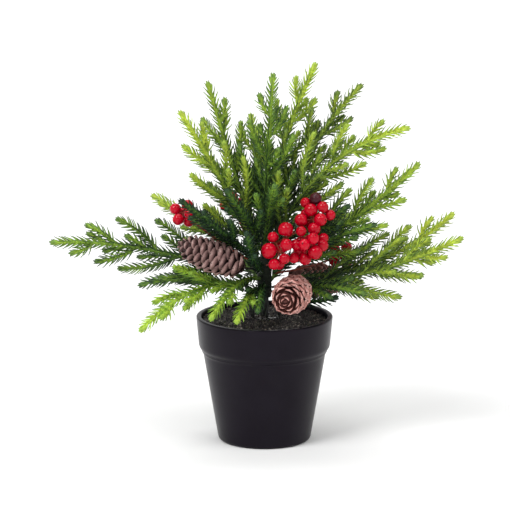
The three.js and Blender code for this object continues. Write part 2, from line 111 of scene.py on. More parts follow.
# Berry bunches: middle, where the wire reaches the trunk, and each berry from the middle with its
# radius, or the turn of an evenly set bunch.
BUNCHES = {
    "berries_front_left": ((11, -44, 150), (1.6, -7, 132), [
        (-8, -2, 1, 5.8), (-5, 4, 9.6, 4.1), (4.4, -5, 6, 4.5), (3, -5.6, -4, 3.9),
        (-4.4, -5.6, -8, 4.1), (9.8, 1.4, -5, 3.9), (-0.8, 4, -10, 4.1), (4, 3, 15.4, 5.6),
        (0.5, 7.5, 1, 4.6),
    ]),
    "berries_front_right": ((31, -41, 153), (4.6, -5.4, 134), [
        (-5, -2, 11.6, 3.6), (3.6, -5.6, 7.2, 4), (-2.8, -7, 3, 4), (-8.4, 0.4, 1.4, 3.9),
        (5, -3, -3.4, 5), (10.2, 1, 0.8, 4.2), (-2, 0.6, -9, 4.3), (-6, 6, -5, 4.2),
        (1, 8, 3, 4), (11, 6, 5, 3.6),
    ]),
    "berries_front_top": ((35, -31, 171), (2.8, -4.2, 146), [
        (-9, -3, 0, 4.5), (-2, 1, 6.4, 4.7), (6.6, 2, 8.4, 4.1), (5, -4, 0.6, 4.4),
        (0.4, -5, -6, 4.4), (12, 3, 2.6, 3.7), (-5.6, 6, 11, 3.6), (1.6, 5, 14, 4.4),
        (-6, 7, -2, 4.2),
    ]),
    "berries_left": ((-59, -5, 170), (-7, 0.4, 132), 0.7),
    "berries_right": ((57, 19, 134), (6.4, 2.8, 124), 0.2),
    "berries_rear": ((-24, 50, 166), (-3.5, 6.2, 132), 1.6),
}
LOOSE = ("berries_front_left",)  # its berries are pieces of their own
WITHERED = ("berries_front_top", 7)  # one dark dried berry at the top of its bunch


# -------------------- vectors and paths
BEZIER_STEPS = 200


def vec(*xyz):
    return np.array(xyz[0] if len(xyz) == 1 else xyz, dtype=float)


def unit(v):
    return v / np.linalg.norm(v, axis=-1, keepdims=True)


class Path:
    """A line through close points, looked up by the distance along it."""

    def __init__(self, points):
        self.points = points
        steps = np.linalg.norm(np.diff(points, axis=0), axis=1)
        self.along = np.concatenate([[0], np.cumsum(steps)])
        self.length = self.along[-1]

    def at(self, s):
        s = np.atleast_1d(s)
        return np.stack([np.interp(s, self.along, self.points[:, k]) for k in range(3)], axis=1)

    def tangent(self, s):
        step = self.length * 0.01
        s = np.clip(np.atleast_1d(s), 0, self.length)
        ahead = self.at(np.minimum(s + step, self.length))
        return unit(ahead - self.at(np.maximum(s - step, 0)))


def bezier(start, middle, end):
    """A quadratic Bezier as a path."""
    t = np.linspace(0, 1, BEZIER_STEPS + 1)[:, None]
    return Path((1 - t) ** 2 * start + 2 * t * (1 - t) * middle + t**2 * end)


def sides_of(tangents):
    """Two directions square to each tangent, carried along without twisting."""
    first = np.cross(tangents[0], (0, 0, 1.0))
    if np.linalg.norm(first) < 0.1:
        first = np.cross(tangents[0], (0, 1.0, 0))
    rows = []
    for t in tangents:
        first = first - t * np.dot(first, t)
        first = first / np.linalg.norm(first)
        rows.append(first)
    normals = np.array(rows)
    return normals, np.cross(tangents, normals)


# -------------------- meshes
PLAIN_TONE = (0.5, 0.5, 0.5)
FILLET_STEPS = 6


class Shape:
    """Points, faces, tones and material numbers gathered into one mesh.

    A tone is three numbers for each point, stored with a warmth in the mesh's "tone" attribute:
    a sprig's green, which holds painted shade on shaded sprigs and at the needles' ends, or a
    cone scale's tone, pale at its lip with painted shade at its root, underside and core, a chance
    value for each needle, scale or granule, and the place along a needle.
    """

    def __init__(self):
        self.points, self.faces, self.tones, self.slots = [], [], [], []
        self.count = 0

    def add(self, points, faces, tone=PLAIN_TONE, slot=0):
        points = np.asarray(points, dtype=float).reshape(-1, 3)
        self.points.append(points)
        self.faces.extend([tuple(int(i) + self.count for i in f) for f in faces])
        self.slots.extend([slot] * len(faces))
        self.tones.append(np.broadcast_to(np.asarray(tone, dtype=float), (len(points), 3)))
        self.count += len(points)

    def repeat(self, points, faces, tones):
        """Copies of one template: points and tones are (copies, points of one, 3)."""
        copies, n = points.shape[:2]
        for width in {len(f) for f in faces}:
            some = np.array([f for f in faces if len(f) == width])
            every = some[None] + (np.arange(copies) * n)[:, None, None] + self.count
            self.faces.extend(map(tuple, every.reshape(-1, width).tolist()))
            self.slots.extend([0] * (copies * len(some)))
        self.points.append(points.reshape(-1, 3))
        self.tones.append(tones.reshape(-1, 3))
        self.count += copies * n

    def make(self, name, materials, body, replaced, warmth=1.0):
        """The finished piece, in metres, riding its body in place of the replaced nodes."""
        mesh = bpy.data.meshes.new(name)
        points = np.concatenate(self.points) * MM
        mesh.from_pydata(points.tolist(), [], self.faces)
        mesh.polygons.foreach_set("material_index", self.slots)
        mesh.polygons.foreach_set("use_smooth", [True] * len(self.faces))
        tones = np.concatenate(self.tones)
        layer = mesh.attributes.new("tone", "FLOAT_COLOR", "POINT")
        layer.data.foreach_set("color", np.c_[tones, np.full(len(tones), warmth)].ravel())
        mesh.validate()
        mesh.update()
        for material in materials:
            mesh.materials.append(material)
        piece = bpy.data.objects.new(name, mesh)
        bpy.context.scene.collection.objects.link(piece)
        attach(piece, body)
        if replaced:
            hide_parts(*replaced)


def rings_to_faces(rings, around, capped=True):
    """Quads between rings of points, with one flat face over each end if capped."""
    faces = []
    for r in range(rings - 1):
        for k in range(around):
            a, b = r * around + k, r * around + (k + 1) % around
            faces.append((a, b, b + around, a + around))
    if capped:
        faces.append(tuple(range(around))[::-1])
        faces.append(tuple((rings - 1) * around + k for k in range(around)))
    return faces


def sweep(path_points, tangents, radii, around, wobble):
    """A ring of points round each point of a path, its radius jittered by wobble."""
    normals, binormals = sides_of(tangents)
    angles = np.arange(around) / around * 2 * math.pi
    ring = normals[:, None] * np.cos(angles)[None, :, None]
    ring = ring + binormals[:, None] * np.sin(angles)[None, :, None]
    spread = radii[:, None] * (1 + wobble * rng.standard_normal((len(radii), around)))
    return path_points[:, None] + ring * spread[..., None]


def add_tube(shape, path, radius, around, step, slot=0, wobble=0.0):
    """A tube along a path; radius is a number or a function of the share of its length."""
    rings = max(3, int(path.length / step))
    s = np.linspace(0, path.length, rings)
    share = s / path.length
    radii = np.array([radius(u) for u in share]) if callable(radius) else np.full(rings, radius)
    points = sweep(path.at(s), path.tangent(s), radii, around, wobble)
    shape.add(points, rings_to_faces(rings, around), slot=slot)


def rippled(radius, ripple, waves):
    """A tube's radius with small waves along it, as on a coated or twisted wire."""
    return lambda share: radius + ripple * math.sin(share * waves)


def lathe(profile, around):
    """Points and faces of a profile (r, z) turned round Z; it starts and ends on the axis."""
    inner = np.array(profile[1:-1])
    angles = np.arange(around) / around * 2 * math.pi
    rings = np.zeros((len(inner), around, 3))
    rings[..., 0] = inner[:, :1] * np.cos(angles)
    rings[..., 1] = inner[:, :1] * np.sin(angles)
    rings[..., 2] = inner[:, 1:]
    foot, top = (0, 0, profile[0][1]), (0, 0, profile[-1][1])
    points = np.concatenate([[foot], rings.reshape(-1, 3), [top]])
    last = len(points) - 1
    faces = []
    for k in range(around):
        following = (k + 1) % around
        faces.append((0, 1 + following, 1 + k))
        faces.append((last, last - around + k, last - around + following))
    for face in rings_to_faces(len(inner), around, capped=False):
        faces.append(tuple(1 + i for i in face))
    return points, faces


def rounded(corners):
    """A profile with each corner (r, z, fillet) rounded by its fillet."""
    out = []
    for i, (r, z, fillet) in enumerate(corners):
        here = vec(r, z)
        if not fillet:
            out.append((r, z))
            continue
        before, after = vec(corners[i - 1][:2]), vec(corners[i + 1][:2])
        start, end = here + unit(before - here) * fillet, here + unit(after - here) * fillet
        for t in np.linspace(0, 1, FILLET_STEPS + 1):
            out.append(tuple((1 - t) ** 2 * start + 2 * t * (1 - t) * here + t * t * end))
    return out


def unit_ball(rows, around):
    polar = [math.pi * i / rows for i in range(rows + 1)]
    return lathe([(math.sin(p), -math.cos(p)) for p in polar], around)


BALL_POINTS, BALL_FACES = unit_ball(18, 26)


# -------------------- materials
class Tree:
    """The node tree of a material or a world; its helpers add nodes and return sockets."""

    def __init__(self, owner):
        owner.use_nodes = True
        self.owner = owner
        self.nodes, self.links = owner.node_tree.nodes, owner.node_tree.links

    def noise(self, scale, detail=3, roughness=0.55):
        """Noise fixed to the object, in its own metres."""
        place = self.nodes.new("ShaderNodeTexCoord")
        made = self.nodes.new("ShaderNodeTexNoise")
        made.inputs["Scale"].default_value = scale
        made.inputs["Detail"].default_value = detail
        made.inputs["Roughness"].default_value = roughness
        self.links.new(place.outputs["Object"], made.inputs["Vector"])
        return made.outputs["Fac"]

    def ramp(self, value, stops):
        """The colour at a value, between (place, colour) stops."""
        made = self.nodes.new("ShaderNodeValToRGB")
        elements = made.color_ramp.elements
        while len(elements) < len(stops):
            elements.new(0.5)
        for element, (place, colour) in zip(elements, stops):
            element.position = place
            element.color = (*colour, 1)
        self.links.new(value, made.inputs["Fac"])
        return made.outputs["Color"]

    def spread(self, value, low, high):
        """A value from 0 to 1 mapped between two numbers."""
        made = self.nodes.new("ShaderNodeMapRange")
        made.inputs["To Min"].default_value = low
        made.inputs["To Max"].default_value = high
        self.links.new(value, made.inputs["Value"])
        return made.outputs["Result"]

    def multiply_add(self, value, factor, added):
        made = self.nodes.new("ShaderNodeMath")
        made.operation = "MULTIPLY_ADD"
        self.links.new(value, made.inputs[0])
        made.inputs[1].default_value = factor
        self.links.new(added, made.inputs[2])
        return made.outputs[0]

    def scaled(self, colour, amount):
        """A colour times a number."""
        made = self.nodes.new("ShaderNodeVectorMath")
        made.operation = "SCALE"
        self.links.new(colour, made.inputs[0])
        self.links.new(amount, made.inputs["Scale"])
        return made.outputs[0]

    def mix(self, blend, factor, a, b):
        """Two colours blended; each of factor, a and b is a socket or a constant."""
        made = self.nodes.new("ShaderNodeMix")
        made.data_type = "RGBA"
        made.blend_type = blend
        for socket, value in ((made.inputs[0], factor), (made.inputs[6], a), (made.inputs[7], b)):
            if isinstance(value, bpy.types.NodeSocket):
                self.links.new(value, socket)
            else:
                socket.default_value = value if isinstance(value, float) else (*value, 1)
        return made.outputs[2]

    def tones(self):
        """The four channels that Shape.make stores on every point."""
        layer = self.nodes.new("ShaderNodeAttribute")
        layer.attribute_name = "tone"
        split = self.nodes.new("ShaderNodeSeparateColor")
        self.links.new(layer.outputs["Color"], split.inputs["Color"])
        red, green, blue = (split.outputs[channel] for channel in ("Red", "Green", "Blue"))
        return red, green, blue, layer.outputs["Alpha"]


class Look(Tree):
    """A material with its Principled shader."""

    def __init__(self, name):
        super().__init__(bpy.data.materials.new(name))
        self.shader = self.nodes["Principled BSDF"]

    def set(self, **values):
        """Constants on the shader's inputs, named with underscores for spaces."""
        for key, value in values.items():
            self.shader.inputs[key.replace("_", " ")].default_value = value

    def surface(self, colour, roughness):
        self.links.new(colour, self.shader.inputs["Base Color"])
        self.links.new(roughness, self.shader.inputs["Roughness"])

    def bump(self, height, strength, distance):
        made = self.nodes.new("ShaderNodeBump")
        made.inputs["Strength"].default_value = strength
        made.inputs["Distance"].default_value = distance
        self.links.new(height, made.inputs["Height"])
        self.links.new(made.outputs["Normal"], self.shader.inputs["Normal"])


def spruce_material():
    """Green by the sprig's tone, with painted shade on shaded sprigs, darker at the needles' ends as painted
    shade, and cool or warm by the sprig.
    """
    look = Look("spruce_polyethylene")
    green_and_shade, chance, along, warmth = look.tones()
    green_and_shade = look.multiply_add(look.noise(110), 0.5, green_and_shade)
    # painted shade: the green darkens towards each needle's end
    green_and_shade = look.multiply_add(along, -0.5, green_and_shade)
    cool = look.ramp(green_and_shade, [
        (0.08, (0.007, 0.020, 0.012)),
        (0.3, (0.018, 0.056, 0.022)),
        (0.52, (0.082, 0.195, 0.036)),
        (0.78, (0.22, 0.42, 0.052)),
        (1.0, (0.38, 0.60, 0.070)),
    ])
    warm = look.ramp(green_and_shade, [
        (0.08, (0.012, 0.022, 0.010)),
        (0.3, (0.038, 0.066, 0.021)),
        (0.52, (0.160, 0.235, 0.038)),
        (0.78, (0.37, 0.46, 0.055)),
        (1.0, (0.60, 0.65, 0.080)),
    ])
    green = look.scaled(look.mix("MIX", warmth, cool, warm), look.spread(chance, 0.7, 1.45))
    look.surface(green, look.spread(look.noise(300), 0.36, 0.56))
    look.set(Specular_IOR_Level=0.22)
    look.bump(look.noise(900), 0.25, 0.0003)
    return look.owner


def pot_material():
    look = Look("pot_charcoal_plastic")
    colour = look.ramp(look.noise(45, 5), [(0.3, (0.0040, 0.0028, 0.0056)), (0.7, (0.0064, 0.0050, 0.0088))])
    look.surface(colour, look.spread(look.noise(160, 5), 0.27, 0.36))
    look.set(Specular_IOR_Level=0.14, Specular_Tint=(0.97, 0.88, 1.0, 1))
    look.bump(look.noise(1400, 4), 0.18, 0.0002)
    return look.owner


def soil_material():
    look = Look("soil_granules")
    _, chance, _, _ = look.tones()
    colour = look.ramp(chance, [
        (0.0, (0.020, 0.017, 0.018)),
        (0.5, (0.052, 0.045, 0.045)),
        (0.8, (0.11, 0.096, 0.090)),
        (0.94, (0.22, 0.19, 0.16)),
        (1.0, (0.55, 0.50, 0.43)),
    ])
    grain = look.mix("MULTIPLY", 0.6, colour, (0.5, 0.5, 0.5))
    speckled = look.mix("MIX", look.noise(700), grain, colour)
    look.surface(speckled, look.spread(look.noise(500), 0.35, 0.8))
    look.bump(look.noise(1500), 0.6, 0.0004)
    return look.owner


def cone_material():
    """Brown that pales towards the scales' lips and darkens at their roots, undersides and core as painted
    shade, mauve or warm by the cone.
    """
    look = Look("cone_scales")
    lip, chance, _, warmth = look.tones()
    # the lip tone runs from painted shade in the recesses up to the pale lips
    streaked = look.multiply_add(look.noise(650, 5, 0.7), 0.6, lip)
    mauve = look.ramp(streaked, [
        (0.2, (0.010, 0.005, 0.005)),
        (0.4, (0.060, 0.032, 0.030)),
        (0.6, (0.135, 0.078, 0.074)),
        (0.85, (0.30, 0.19, 0.175)),
        (1.0, (0.42, 0.31, 0.28)),
    ])
    warm = look.ramp(streaked, [
        (0.2, (0.018, 0.005, 0.004)),
        (0.4, (0.115, 0.032, 0.024)),
        (0.6, (0.32, 0.10, 0.080)),
        (0.85, (0.61, 0.30, 0.26)),
        (1.0, (0.74, 0.50, 0.45)),
    ])
    brown = look.scaled(look.mix("MIX", warmth, mauve, warm), look.spread(chance, 0.8, 1.2))
    look.surface(brown, look.spread(look.noise(260), 0.55, 0.85))
    look.set(Specular_IOR_Level=0.3)
    look.bump(look.noise(800, 6, 0.7), 0.7, 0.0006)
    return look.owner


def plain_material(name, dark, pale, scale, rough, specular=0.5, metallic=0.0, coat=0.0,
                   bump_scale=600, bump_strength=0.3, bump_depth=0.0003):
    """A mottled surface: two colours along a noise, roughness between two limits, and a fine bump."""
    look = Look(name)
    colour = look.ramp(look.noise(scale, 5), [(0.3, dark), (0.7, pale)])
    look.surface(colour, look.spread(look.noise(scale * 2.3), *rough))
    look.set(Specular_IOR_Level=specular, Metallic=metallic, Coat_Weight=coat, Coat_Roughness=0.06)
    look.bump(look.noise(bump_scale), bump_strength, bump_depth)
    return look.owner


SPRUCE = spruce_material()
POT = pot_material()
SOIL = soil_material()
CONE = cone_material()
BARK = plain_material(
    "stem_plastic", (0.0035, 0.0048, 0.0042), (0.010, 0.013, 0.010), 300, (0.35, 0.6))
TAPE = plain_material(
    "floral_tape", (0.006, 0.010, 0.006), (0.014, 0.022, 0.012), 250, (0.6, 0.85),
    specular=0.3, bump_scale=1800, bump_strength=0.5)
WIRE = plain_material(
    "pick_wire", (0.05, 0.045, 0.04), (0.11, 0.10, 0.09), 400, (0.3, 0.5), metallic=0.8)
BERRY = plain_material(
    "berry_lacquer", (0.38, 0.0, 0.010), (0.54, 0.0, 0.017), 60, (0.16, 0.24),
    specular=0.14, coat=0.18, bump_scale=250, bump_strength=0.12, bump_depth=0.0004)
WITHER = plain_material(
    "berry_withered", (0.020, 0.0005, 0.003), (0.070, 0.001, 0.008), 240, (0.25, 0.4),
    specular=0.3, bump_scale=420, bump_strength=0.8, bump_depth=0.0010)
CALYX = plain_material(
    "berry_calyx", (0.10, 0.002, 0.004), (0.22, 0.004, 0.008), 500, (0.4, 0.7), specular=0.2)
PICK = plain_material(
    "berry_branchlet", (0.16, 0.018, 0.008), (0.34, 0.045, 0.015), 400, (0.45, 0.7))
CEMENT = plain_material(
    "cement", (0.22, 0.21, 0.20), (0.40, 0.39, 0.37), 120, (0.85, 1.0), bump_strength=0.8)
FOAM = plain_material(
    "floral_foam", (0.008, 0.009, 0.008), (0.020, 0.022, 0.019), 700, (0.85, 1.0),
    bump_scale=2500, bump_strength=0.9)
GLUE = plain_material(
    "set_glue", (0.010, 0.010, 0.010), (0.03, 0.028, 0.026), 200, (0.1, 0.25), coat=0.5)


# -------------------- pot
POT_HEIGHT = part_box("pot")[1][2] / MM
RIM_RADIUS = (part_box("pot")[1][0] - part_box("pot")[0][0]) / MM / 2
BAND_FOOT = POT_HEIGHT - 24.5
FOOT_RADIUS, WALL_TOP_RADIUS, BAND_RADIUS, POT_FLOOR = 34, 45.4, 48.25, 2.6
LONGEST_FACE = 4  # rings on long straight runs keep the shading even


def make_pot():
    shape = Shape()
    profile = rounded([
        (0, 0, 0),
        (27.5, 0, 0),
        (FOOT_RADIUS, 0, 2.6),
        (WALL_TOP_RADIUS - 0.3, BAND_FOOT - 3.2, 1.6),
        (WALL_TOP_RADIUS + 0.9, BAND_FOOT - 1.6, 1.0),
        (WALL_TOP_RADIUS + 1.1, BAND_FOOT - 0.4, 0.5),
        (BAND_RADIUS, BAND_FOOT + 2.2, 1.8),
        (RIM_RADIUS - 0.05, POT_HEIGHT - 0.1, 1.2),
        (RIM_RADIUS - 3.6, POT_HEIGHT, 0.7),
        (RIM_RADIUS - 3.9, POT_HEIGHT - 2.6, 0.8),
        (43.4, BAND_FOOT, 0),
        (32.2, POT_FLOOR, 0.8),
        (0, POT_FLOOR, 0),
    ])
    dense = [profile[0]]
    for before, after in zip(profile, profile[1:]):
        pieces = max(1, int(math.dist(before, after) / LONGEST_FACE))
        for i in range(1, pieces + 1):
            dense.append(tuple(vec(before) + (vec(after) - vec(before)) * i / pieces))
    shape.add(*lathe(dense, 144))
    shape.make("pot_moulded_shell", [POT], BASE, ["pot"])


# -------------------- soil
SOIL_RADIUS = (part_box("soil_layer")[1][0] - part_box("soil_layer")[0][0]) / MM / 2
SOIL_FOOT, SOIL_CROWN = (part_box("soil_layer")[i][2] / MM for i in (0, 1))
SOIL_EDGE = 89.5  # height of the soil at the pot's wall
BED_DEPTH = 0.5  # of the smooth bed under the loose granules
BED_TONE = (0.1, 0.15, 0.5)
GRANULES = 5300


def soil_height(r):
    """The mound's height at a distance from the trunk."""
    share = np.clip(r / SOIL_RADIUS, 0, 1)
    return SOIL_EDGE + (SOIL_CROWN - SOIL_EDGE - 0.6) * (0.5 + 0.5 * np.cos(math.pi * share**1.3))


def make_soil():
    shape = Shape()
    profile = [(0, SOIL_FOOT), (SOIL_RADIUS - 0.5, SOIL_FOOT)]
    profile += [(r, soil_height(r) - BED_DEPTH) for r in np.linspace(SOIL_RADIUS - 0.4, 1, 24)]
    profile.append((0, soil_height(0) - BED_DEPTH))
    shape.add(*lathe(profile, 64), BED_TONE)
    r = np.sqrt(rng.random(GRANULES)) * (SOIL_RADIUS - 1.0)
    angle = rng.random(GRANULES) * 2 * math.pi
    size = 0.4 + 0.75 * rng.random(GRANULES) ** 2.4
    centres = np.stack([r * np.cos(angle), r * np.sin(angle), soil_height(r) - 0.35 * size], axis=1)
    centres[:, 2] += rng.random(GRANULES) * 0.5
    template, faces = unit_ball(4, 6)
    crumbs = template[None] * (size[:, None] * rng.uniform(0.65, 1.2, (GRANULES, 3)))[:, None]
    crumbs = crumbs * rng.uniform(0.75, 1.15, (GRANULES, len(template), 1))
    turn = rng.random(GRANULES) * 2 * math.pi
    c, s = np.cos(turn)[:, None], np.sin(turn)[:, None]
    x, y, z = np.moveaxis(crumbs, -1, 0)
    turned = np.stack([x * c - y * s, x * s + y * c, z], -1)
    chance = rng.random(GRANULES)
    tones = np.broadcast_to(np.stack([chance * 0, chance, chance], 1)[:, None], turned.shape)
    shape.repeat(turned + centres[:, None], faces, tones)
    shape.make("soil_granules", [SOIL], BASE, ["soil_layer"])


# -------------------- stems
STEM_FOOT, STEM_BEND, STEM_RADIUS = 48, 70, 1.6
STRANDS, STRAND_TURNS, STRAND_RADIUS = 5, 2.2, 1.25
TAPE_CORE, TAPE_PITCH, TAPE_LAP = 3.7, 5.2, 0.38


def make_stem(name, foot, top):
    """A coated wire: upright in the foam, then leaning out to its sprigs."""
    shape = Shape()
    soil = SOIL_CROWN + 1
    lower = vec(*foot, soil)
    upright = bezier(vec(*foot, STEM_FOOT), vec(*foot, STEM_BEND), lower + (0, 0, 0.5))
    add_tube(shape, upright, STEM_RADIUS, 12, 3, wobble=0.01)
    lean = bezier(lower, vec(*foot, soil + 12), vec(top))
    add_tube(shape, lean, rippled(STEM_RADIUS + 0.02, 0.1, 60), 12, 0.7, wobble=0.02)
    shape.make(f"{name}_coated_wire", [BARK], BASE, [name])


def make_trunk():
    """A core with strands of wire twisted round it."""
    shape = Shape()
    low, high = (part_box("trunk")[i][2] / MM for i in (0, 1))
    core = bezier(vec(0, 0, low), vec(0, 0, (low + high) / 2), vec(0, 0, high))
    add_tube(shape, core, 2.0, 16, 3)
    for k in range(STRANDS):
        heights = np.linspace(low, high - 0.4, 120)
        angles = 2 * math.pi * (k / STRANDS + STRAND_TURNS * (heights - low) / (high - low))
        strand = Path(np.stack([1.9 * np.cos(angles), 1.9 * np.sin(angles), heights], 1))
        add_tube(shape, strand, STRAND_RADIUS, 10, 1.6)
    shape.make("trunk_wire_bundle", [BARK], BASE, ["trunk"])


def make_tape():
    """Floral tape wound in overlapping turns round the trunk and the roots of the sprigs."""
    shape = Shape()
    low, high = (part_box("tape_wrap")[i][2] / MM for i in (0, 1))
    radius = (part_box("tape_wrap")[1][0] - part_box("tape_wrap")[0][0]) / MM / 2 - 0.15
    around, rows = 40, 120
    points = np.zeros((rows, around, 3))
    for i in range(rows):
        z = low + (high - low) * i / (rows - 1)
        for k in range(around):
            angle = 2 * math.pi * k / around
            turn = ((z - low) / TAPE_PITCH + k / around) % 1.0
            lap = TAPE_LAP * turn**0.7 - 0.5 * max(0, turn - 0.93) / 0.07 * TAPE_LAP
            ends = min(1, (z - low) / 2.5, (high - z) / 2.5) ** 0.5 if low < z < high else 0
            r = TAPE_CORE + (radius - 0.4 - TAPE_CORE) * (0.55 + 0.45 * ends) + lap - 0.05
            r += 0.07 * math.sin(angle * 5 + z * 0.9)
            points[i, k] = (r * math.cos(angle), r * math.sin(angle), z)
    shape.add(points, rings_to_faces(rows, around))
    shape.make("tape_wrap_turns", [TAPE], BASE, ["tape_wrap"])


# -------------------- sprigs
NEEDLE_LENGTH = 7.4
NEEDLE_SIDES = 5
NEEDLE_RINGS = (0.0, 0.25, 0.6, 0.88, 1.0)
NEEDLE_WIDTHS = (0.74, 0.76, 0.54, 0.38, 0.16)
WHORL_STEP, IN_WHORL = 1.95, 3
TUFT = 14  # short needles round each bud
CLOSING = 9.0  # needles shorten over this length before a tip
AXIS_RADIUS, TWIG_RADIUS, CORE_SIDES, CORE_STEP = 1.45, 1.2, 9, 1.1
AXIS_BARE, TWIG_BARE = 7, 3.2  # to the first needle
BUD_LENGTH = 4.5
BUD_ENDS = ((0.6, 0.95), (1.2, 0.78), (1.7, 0.45))  # past the tip, and the share of the radius
BEND_AT = 0.45  # a twig's bend, as a share of its reach
FILL_BASE, FILL_SHARE, LONGEST_FILL, FILL_BARE = 8, 0.17, 27.0, 8


def needle_template():
    """A needle of unit length along Z: a slightly flat blunt taper."""
    points = []
    for share, width in zip(NEEDLE_RINGS, NEEDLE_WIDTHS):
        for k in range(NEEDLE_SIDES):
            angle = 2 * math.pi * k / NEEDLE_SIDES
            points.append((width * math.cos(angle), 0.74 * width * math.sin(angle), share))
    return np.array(points), rings_to_faces(len(NEEDLE_RINGS), NEEDLE_SIDES)


NEEDLE_POINTS, NEEDLE_FACES = needle_template()


def fan_frame(axis, from_tip, faces_way):
    """Where a twig leaves the axis: the place, the way along, across the fan and out of it."""
    place, tangent = axis.at(axis.length - from_tip)[0], axis.tangent(axis.length - from_tip)[0]
    across = unit(np.cross(vec(faces_way), tangent))
    return place, tangent, across, np.cross(tangent, across)


def twigs_of(root, tip, bow, faces_way, side):
    """The sprig's axis and its side twigs, each with its start's distance from the tip."""
    start, end = vec(root), vec(tip)
    axis = bezier(start, (start + end) / 2 + 2 * vec(bow), end)
    twigs = []
    from_tip = FIRST_TWIG
    while from_tip <= axis.length - BARE_STEM:
        place, tangent, across, lift = fan_frame(axis, from_tip, faces_way)
        i = len(twigs)
        across = across * (-side if i % 2 else side)
        reach = min(LONGEST_TWIG, TWIG_BASE + TWIG_SHARE * from_tip)
        leaving = math.cos(LEAVE_ANGLE) * tangent + math.sin(LEAVE_ANGLE) * across
        bend = place + BEND_AT * reach * leaving
        last = place + reach * (math.cos(END_ANGLE) * tangent + math.sin(END_ANGLE) * across)
        last = last + lift * reach * TWIG_LIFT * (-1 if i % 3 == 1 else 1)
        twigs.append((bezier(place, bend, last), from_tip))
        from_tip += TWIG_SPACING
    return axis, twigs


def add_needles(shape, path, first, green_and_shade_from, green_and_shade_to):
    """Whorls of needles along a twig, closing to a blunt brush at its tip."""
    whorls = max(3, int((path.length - first) / WHORL_STEP))
    s = np.repeat(np.linspace(first, path.length - 0.6, whorls), IN_WHORL)
    s = np.clip(s + rng.uniform(-0.2, 0.2, len(s)), 0, path.length)
    index = np.repeat(np.arange(whorls), IN_WHORL)
    turn = (np.tile(np.arange(IN_WHORL), whorls) + 0.5 * (index % 2)) * 2 * math.pi / IN_WHORL
    turn = turn + rng.uniform(-0.1, 0.1, len(s)) + rng.random() * 0.6
    # a closing tuft round the bud
    s = np.concatenate([s, path.length - np.linspace(2.4, -0.4, TUFT)])
    turn = np.concatenate([turn, np.arange(TUFT) * GOLDEN_ANGLE])
    opened = np.clip((path.length - s) / CLOSING, 0, 1)
    angle = np.radians(16 + 32 * opened**0.6 + rng.uniform(-3, 3, len(s)))
    angle[-TUFT:] = np.radians(np.linspace(20, 4, TUFT))
    length = NEEDLE_LENGTH * (0.36 + 0.64 * opened**0.75) * rng.uniform(0.93, 1.07, len(s))
    length[-TUFT:] = np.linspace(2.5, 1.4, TUFT)
    # each needle's own directions: along it, across it, and the way it bends
    centres, tangents = path.at(s), path.tangent(s)
    normals, binormals = sides_of(tangents)
    radial = normals * np.cos(turn)[:, None] + binormals * np.sin(turn)[:, None]
    ahead = tangents * np.cos(angle)[:, None] + radial * np.sin(angle)[:, None]
    inward = tangents * np.sin(angle)[:, None] - radial * np.cos(angle)[:, None]
    across = np.cross(ahead, inward)
    wide, thick, along = NEEDLE_POINTS.T
    bend = 0.2 * rng.uniform(0.7, 1.3, len(s))[:, None] * length[:, None] * along[None] ** 2
    width = rng.uniform(0.9, 1.1, len(s))[:, None]
    points = (
        (centres + radial * 0.6)[:, None]
        + ahead[:, None] * (along[None] * length[:, None])[..., None]
        + across[:, None] * (wide[None] * width)[..., None]
        + inward[:, None] * (thick[None] * width + bend)[..., None]
    )
    share = s / path.length
    # the sprig's tone along the twig, which holds painted shade on sprigs that lie in shade
    green_and_shade = green_and_shade_from + (green_and_shade_to - green_and_shade_from) * share + rng.uniform(-0.07, 0.07, len(s))
    green_and_shade[-TUFT:] -= 0.22
    chance = rng.random(len(s))
    tones = np.stack(np.broadcast_arrays(green_and_shade[:, None], chance[:, None], along[None]), -1)
    shape.repeat(points, NEEDLE_FACES, np.clip(tones, 0, 1))


def add_twig(shape, path, radius, first, green_and_shade_from, green_and_shade_to):
    """The moulded core of a twig with a rounded bud, and its needles."""
    rings = max(4, int(path.length / CORE_STEP))
    s = np.linspace(0, path.length, rings)
    share, to_tip = s / path.length, path.length - s
    radii = radius * (1 - 0.18 * share) * (1 + 0.1 * np.cos(s / WHORL_STEP * 2 * math.pi))
    swell = 0.85 * np.sqrt(np.clip(1 - to_tip / BUD_LENGTH, 0, 1))
    radii = np.where(to_tip < BUD_LENGTH, radii + swell, radii)
    tip, ahead = path.at(path.length)[0], path.tangent(path.length)[0]
    centres = np.concatenate([path.at(s), [tip + ahead * past for past, _ in BUD_ENDS]])
    tangents = np.concatenate([path.tangent(s), [ahead] * len(BUD_ENDS)])
    radii = np.concatenate([radii, [radii[-1] * part for _, part in BUD_ENDS]])
    points = sweep(centres, tangents, radii, CORE_SIDES, 0.05)
    green_and_shade = green_and_shade_from + (green_and_shade_to - green_and_shade_from) * np.concatenate([share, [1] * len(BUD_ENDS)])
    # the bud is a duller green than the needles behind it
    dull = np.concatenate([np.clip(1 - to_tip / 3, 0, 1), [1] * len(BUD_ENDS)])
    tones = np.stack([green_and_shade - 0.3 * dull, np.full(len(green_and_shade), 0.35), np.zeros(len(green_and_shade))], 1)
    faces = rings_to_faces(len(radii), CORE_SIDES)
    shape.add(points, faces, np.clip(np.repeat(tones, CORE_SIDES, 0), 0, 1))
    add_needles(shape, path, first, green_and_shade_from, green_and_shade_to)


